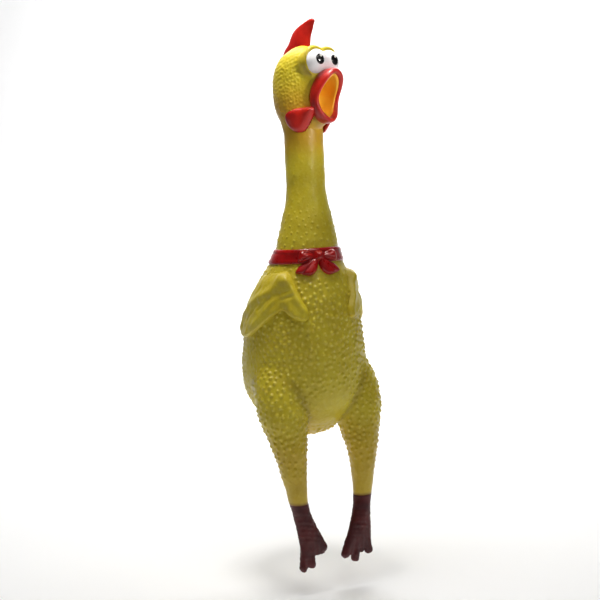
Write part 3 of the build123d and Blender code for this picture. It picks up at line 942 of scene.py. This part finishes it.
# ---- eyes
def build_eyes():
    """Two eyeballs that meet over the beak, with pupils and glints."""
    centre = turned(place(0, *EYE_CENTRE[1:]), HEAD_TURN)
    points, faces = surface(eye_field, centre - EYE_REACH, centre + EYE_REACH, EYE_STEP)
    skin = (points, faces, point_normals(points, faces), {})
    middle = turned(points[faces].mean(1), -HEAD_TURN)[:, 0]
    for side, sign in SIDES.items():
        eye = cut_piece(f"eyeball_{side}", skin, middle * sign > 0, white)
        finish_piece(eye, "eye_white", "head", f"eye_{side}")
        name = f"pupil_{side}_painted"
        pupil = eye_spot(name, side, (0, PUPIL_RAISE), PUPIL_SIZE, (0.3, -0.5), black)
        finish_piece(pupil, "eye_black", "head", f"pupil_{side}")
        name = f"pupil_glint_{side}"
        glint = eye_spot(name, side, GLINT_SPOT, GLINT_SIZE, (0.5, 0.1), glint_white)
        finish_piece(glint, "eye_white", "head")


def eye_spot(name, side, offset, size, shell, material):
    """A slanted oval of paint on one eyeball. Its shell is its top and underside height."""
    ring = np.linspace(0, 2 * pi, 48, endpoint=False)
    slant, gaze = radians(PUPIL_SLANT), radians(PUPIL_GAZE[side])
    centre, rows = eye_middle(SIDES[side]), []
    profile = [(r, shell[0] * (1 - r ** 6) + shell[1] * r ** 6) for r in np.linspace(0.08, 1, 14)]
    profile += [(r, shell[1]) for r in np.linspace(0.9, 0.1, 5)]
    for r, thickness in profile:
        a, b = size[0] * r * np.cos(ring), size[1] * r * np.sin(ring)
        across = offset[0] + a * cos(slant) - b * sin(slant)
        up = offset[1] + a * sin(slant) + b * cos(slant)
        ahead = np.sqrt(EYE_RADIUS ** 2 - across ** 2 - up ** 2)
        ray = place(across * cos(gaze) + ahead * sin(gaze),
                    ahead * cos(gaze) - across * sin(gaze), up) / EYE_RADIUS
        near, far = np.full(len(ring), 0.7 * EYE_RADIUS), np.full(len(ring), 1.7 * EYE_RADIUS)
        for _ in range(22):         # halvings of the gap between a place inside and one outside
            middle = (near + far) / 2
            inside = eye_field(turned(centre + ray * middle[:, None], HEAD_TURN)) < thickness
            near, far = np.where(inside, middle, near), np.where(inside, far, middle)
        rows.append(centre + ray * near[:, None])
    return grid_piece(name, turned(np.array(rows), HEAD_TURN), material)


# ---- beak and mouth
def rounded(value, power):
    """A sine or cosine squared off towards a box."""
    return np.sign(value) * np.abs(value) ** power


def build_beak():
    """Fat lips round the gape, and the orange cup behind them."""
    ring = np.linspace(0, 2 * pi, 144, endpoint=False)
    section = np.linspace(0, 2 * pi, 40, endpoint=False)
    rows = []
    for angle in ring:
        outward = 0.5 + 0.5 * rounded(np.cos(section), 0.8)
        ahead = 0.5 + 0.5 * rounded(np.sin(section), 0.8)
        gape = MOUTH_OVAL[0] * rounded(sin(angle), MOUTH_POINT)
        across = gape + (LIP_OVAL[0] * sin(angle) - gape) * outward
        reach = MOUTH_OVAL[1] + (LIP_OVAL[1] - MOUTH_OVAL[1]) * outward
        height = MOUTH_CENTRE + reach * cos(angle)
        front = smooth_rows(LIP_FRONT, height)[0]
        back = smooth_rows(LIP_BACK, height)[0] - LIP_ROOT
        rows.append(place(across, back + (front - back) * ahead, height))
    lips = grid_piece("beak_lips", turned(np.array(rows), HEAD_TURN), red, loop_rows=True)
    finish_piece(lips, "red_paint", "head", "beak_rim")

    rows = []
    steps = np.linspace(0, 1, 18)
    for angle in ring:
        edge_x = (MOUTH_OVAL[0] - 0.35) * rounded(sin(angle), MOUTH_POINT)
        edge_z = (MOUTH_OVAL[1] - 0.35) * cos(angle) + MOUTH_CENTRE - OUTLET_HEIGHT
        least = OUTLET_RADIUS / hypot(edge_x, edge_z)
        rim = smooth_rows(LIP_FRONT, OUTLET_HEIGHT + edge_z)[0] - 1.9
        inner_scale = least + (1 - least) * np.cos(steps * pi / 2) ** 0.7
        inner_depth = rim + (MOUTH_BACK + 1.4 - rim) * np.sin(steps * pi / 2) ** 0.8
        scale = np.concatenate([inner_scale, inner_scale[::-1] + 0.06])
        depth = np.concatenate([inner_depth, inner_depth[::-1] - MOUTH_WALL])
        rows.append(place(edge_x * scale, depth, OUTLET_HEIGHT + edge_z * scale))
    cup = grid_piece("mouth_cup", turned(np.array(rows), HEAD_TURN), orange, loop_rows=True)
    finish_piece(cup, "mouth_orange", "head", "mouth_liner")


# ---- comb and wattles
def build_comb():
    """A smooth fin, thin at its edges, that leans forward to a blunt point."""
    foot, top = COMB_OVALS[0][0], COMB_OVALS[-1][0]
    crown = top - (top - COMB_SHOULDER) * np.linspace(1, 0.03, 14) ** 2
    heights = np.concatenate([np.linspace(foot, COMB_SHOULDER, 39, endpoint=False), crown])
    ring = np.linspace(0, 2 * pi, 64, endpoint=False)
    rows = []
    for height in heights:
        forward, width, depth, _ = oval_at(COMB_OVALS, height)
        side = width * rounded(np.sin(ring), 1.15) + 0.25 * np.sin(height / 5)
        rows.append(place(side, forward + depth * rounded(np.cos(ring), 0.95), height))
    comb = grid_piece("comb_fin", turned(np.array(rows), HEAD_TURN), red)
    finish_piece(comb, "red_paint", "head", "comb")


def beside_throat(sign):
    """The way onto one side of the throat, from forward and height, standing proud of it."""
    def placed(forward, height, proud):
        middle, width, depth, _ = oval_at(HEAD_OVALS, height)
        skull = width * np.sqrt(np.maximum(1 - ((forward - middle) / depth) ** 2, 0))
        reach = (skull ** 6 + SNOUT_SIDE ** 6) ** (1 / 6) + proud
        return turned(place(sign * reach, forward, height), HEAD_TURN)
    return placed


def build_wattles():
    """A puffy lobe with a flat top on each side of the throat."""
    loop = smooth_loop(WATTLE_OUTLINE, 9)
    ahead, up = np.meshgrid(np.arange(-7, 31, 0.4), np.arange(34, 61, 0.4), indexing="ij")
    depth = depth_inside(np.stack([ahead, up], -1), loop)
    swell = WATTLE_PROUD * (1 - np.exp(-np.maximum(depth, 0) / 1.6)) + 0.06 * np.maximum(depth, 0)
    swell = swell + 0.35 * np.exp(-((depth - 1.4) / 0.9) ** 2) * fade(up, 52, 56)
    rise = np.where(depth > 0, swell, depth * 1.8)
    for side, sign in SIDES.items():
        placed = beside_throat(sign)
        wattle = relief_piece(f"wattle_{side}_lobe", ahead, up, rise, placed, red, 3.0, -1.2)
        finish_piece(wattle, "red_paint", "head", f"wattle_{side}")


# ---- wings
def build_wings():
    """Two folded wings moulded on the flanks, with soft folds."""
    flat = np.array((radians(BODY_RADIUS), 1))
    loop = smooth_loop(WING_OUTLINE) * flat
    around, up = np.meshgrid(np.arange(15, 130, 0.7), np.arange(-152, -80, 0.6), indexing="ij")
    spots = np.stack([around, up], -1) * flat
    depth = depth_inside(spots, loop)
    inner = fade(depth, 0, 3)
    softness = 1.0 + 6 * fade(up, -118, -98) * fade(around, 58, 74)
    shape = WING_RISE * (1 - np.exp(-np.maximum(depth, 0) / softness))
    for height, width, line in WING_RIDGES:
        shape += height * inner * ridge(spots, line * flat, width)
    for crease in WING_CREASES:
        shape -= 0.8 * inner * ridge(spots, crease * flat, 1.7)
    shape += inner * 0.3 * wavy(spots.reshape(-1, 2) @ np.eye(2, 3), 9, 41).reshape(depth.shape)
    rise = np.where(depth > 0, shape, depth * 1.6)
    for side, sign in SIDES.items():
        wing = relief_piece(f"wing_{side}_folded", sign * around, up, rise, round_body, yellow)
        finish_piece(wing, "yellow_vinyl", "torso", f"wing_{side}")


# ---- ribbon and bow
def build_band():
    """The ribbon: a flat band with two wavering creases."""
    around = np.linspace(0, 360, 240, endpoint=False)
    section = np.linspace(0, 2 * pi, 44, endpoint=False)
    rows = []
    for degrees in around:
        tilt = 0.5 * sin(radians(degrees * 2 + 40))
        up = rounded(np.sin(section), 0.6)
        out = rounded(np.cos(section), 0.75)
        proud = -1.5 + (BAND_PROUD + 1.5) * (0.5 + 0.5 * out)
        for line, wander in ((0.35, 0.12), (-0.3, 0.16)):
            centre = line + wander * sin(radians(degrees * 3 + 50 * line))
            proud = proud - 0.55 * (out > 0) * np.exp(-((up - centre) / 0.13) ** 2)
        height = BAND_MIDDLE + tilt + BAND_HALF * up
        rows.append(round_body(np.full(len(section), degrees), height, proud))
    band = grid_piece("neck_ribbon", np.array(rows), ribbon, loop_rows=True)
    finish_piece(band, "ribbon_red", "torso", "neck_band")


def on_bow(across, up, rise):
    """A place on the bow, from millimetres across and up over the ribbon."""
    return round_body(BOW_TURN + np.degrees(across / BOW_RADIUS), BAND_MIDDLE + up, rise)


def build_bow():
    """A small bow: a knot, two puffed loops and two flat tails."""
    across, up = np.meshgrid(np.arange(-21, 21, 0.35), np.arange(-21, 9, 0.35), indexing="ij")
    spots = np.stack([across, up], -1)

    def pillow(outline, sign, height, softness):
        depth = depth_inside(spots, smooth_loop(outline) * (sign, 1))
        return depth, np.where(depth > 0, height * (1 - np.exp(-depth / softness)), depth * 2)

    def made(name, rise, node):
        piece = relief_piece(name, across, up, rise, on_bow, ribbon)
        finish_piece(piece, "ribbon_red", "torso", node)

    for side, sign in SIDES.items():
        depth, rise = pillow(LOOP_OUTLINE, sign, 6.4, 1.7)
        for crease in LOOP_CREASES:
            rise -= 1.3 * fade(depth, 0, 2) * ridge(spots, crease * np.array((sign, 1)), 0.8)
        pinch = 0.72 + 0.28 * fade(np.abs(across), 2, 10)
        made(f"bow_loop_{side}_puffed", np.where(depth > 0, rise * pinch, rise), f"bow_loop_{side}")

        depth, rise = pillow(TAIL_OUTLINE, sign, 4.2, 1.1)
        rise -= 0.9 * fade(depth, 0, 1.5) * ridge(spots, TAIL_CREASE * np.array((sign, 1)), 0.9)
        made(f"bow_tail_{side}_flat", rise, f"bow_tail_{side}")

    depth, rise = pillow(KNOT_OUTLINE, 1, 8.6, 2.0)
    for crease in KNOT_CREASES:
        rise -= 0.7 * fade(depth, 0, 1.5) * ridge(spots, crease, 0.6)
    made("bow_knot_wrapped", rise, "bow_knot")


def dress_squeaker():
    """Better materials for the squeaker, whose shape stays the frame's own."""
    looks = {"barrel": plastic, "tone_board": plastic, "wedge": plastic, "cap": plastic,
             "reed": film, "seal": rubber}
    for node, material in looks.items():
        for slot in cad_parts[f"whistle_{node}"].material_slots:
            slot.material = material


# ---- studio
def build_floor(toward):
    """A pale floor that curves up into a backdrop."""
    near, far = FLOOR_ENDS
    rows = [(near, 0), (far, 0)]
    for angle in np.linspace(0.08, pi / 2, 18):
        rows.append((far + SWEEP_RADIUS * sin(angle), SWEEP_RADIUS * (1 - cos(angle))))
    rows.append((far + SWEEP_RADIUS, BACKDROP_TOP))
    level = Vector((0, 0, cad_low.z - FLOOR_GAP))
    across = Vector((toward.y, -toward.x, 0))
    points = [level + toward * ahead + across * side + Vector((0, 0, up))
              for ahead, up in rows for side in FLOOR_SIDES]
    faces = [(k, k + 1, k + 3, k + 2) for k in range(0, len(points) - 2, 2)]
    mesh = bpy.data.meshes.new("studio_floor")
    mesh.from_pydata(points, [], faces)
    mesh.shade_smooth()
    paper = Look("studio_paper", own_shape=False).set(Roughness=0.9)
    clouds = paper.ranged(paper.noise(0.03, 2), 0.3, 0.7, 0, 1)
    paper.feed("Base Color", paper.mixed(clouds, (250, 250, 250), (247, 247, 247)))
    mesh.materials.append(paper.material)
    linked("studio_floor", mesh)


def lamp(name, spot, aim, size, power, colour, spread=pi):
    """A soft round lamp at a spot, aimed at another."""
    data = bpy.data.lights.new(name, "AREA")
    data.shape = "DISK"
    data.size = size
    data.energy = power
    data.color = colour
    data.spread = spread
    made = linked(name, data)
    made.location = spot
    made.rotation_mode = "QUATERNION"
    made.rotation_quaternion = (Vector(aim) - Vector(spot)).to_track_quat("-Z", "Y")


def build_studio():
    """Floor, world and lamps: one over the head, one in front, one for the mouth."""
    angle = radians(FLOOR_AZIMUTH)
    toward = Vector((sin(angle), cos(angle), 0))
    build_floor(toward)
    world = bpy.data.worlds.new("studio")
    world.use_nodes = True
    sky = world.node_tree.nodes["Background"].inputs
    sky["Color"].default_value = (0.95, 0.97, 1.0, 1)
    sky["Strength"].default_value = 0.05
    scene.world = world
    scene.view_settings.view_transform = "Standard"

    warm_light, cool, neutral = (1.0, 0.98, 0.94), (1.0, 0.99, 0.96), (1, 1, 1)
    lamp("key", (-0.06, -0.03, 0.42), (0, 0, 0.05), 0.16, 2.25, warm_light)
    lamp("front", (-0.03, -0.62, 0.66), (0, 0, -0.12), 0.36, 1.3, cool)
    lamp("mouth", (0.13, -0.4, 0.12), (0.01, -0.03, 0.068), 0.05, 0.022, warm_light, radians(26))
    behind = toward * 1.15
    lamp("floor", behind + Vector((0, 0, 0.9)), behind - Vector((0, 0, 0.4)), 1.3, 13, neutral)
    lamp("backdrop", (0.9, 0.9, 1.5), toward * 2.2 + Vector((0, 0, 0.3)), 1.5, 33, neutral)


def build_camera():
    """The camera, at the bird's front right, a little above its middle."""
    a, e = radians(CAMERA_AZIMUTH), radians(CAMERA_ELEVATION)
    back = Vector((sin(a) * cos(e), -cos(a) * cos(e), sin(e)))
    data = bpy.data.cameras.new("camera")
    data.lens = CAMERA_LENS
    data.shift_x = CAMERA_SHIFT
    camera = linked("camera", data)
    camera.location = CAMERA_AIM + back * CAMERA_DISTANCE
    camera.rotation_mode = "QUATERNION"
    roll = Quaternion((0, 0, 1), radians(-CAMERA_ROLL))
    camera.rotation_quaternion = (-back).to_track_quat("-Z", "Y") @ roll
    scene.camera = camera


build_camera()
build_studio()
build_head_and_neck()
build_body()
build_feet()
build_eyes()
build_beak()
build_comb()
build_wattles()
build_wings()
build_band()
build_bow()
dress_squeaker()
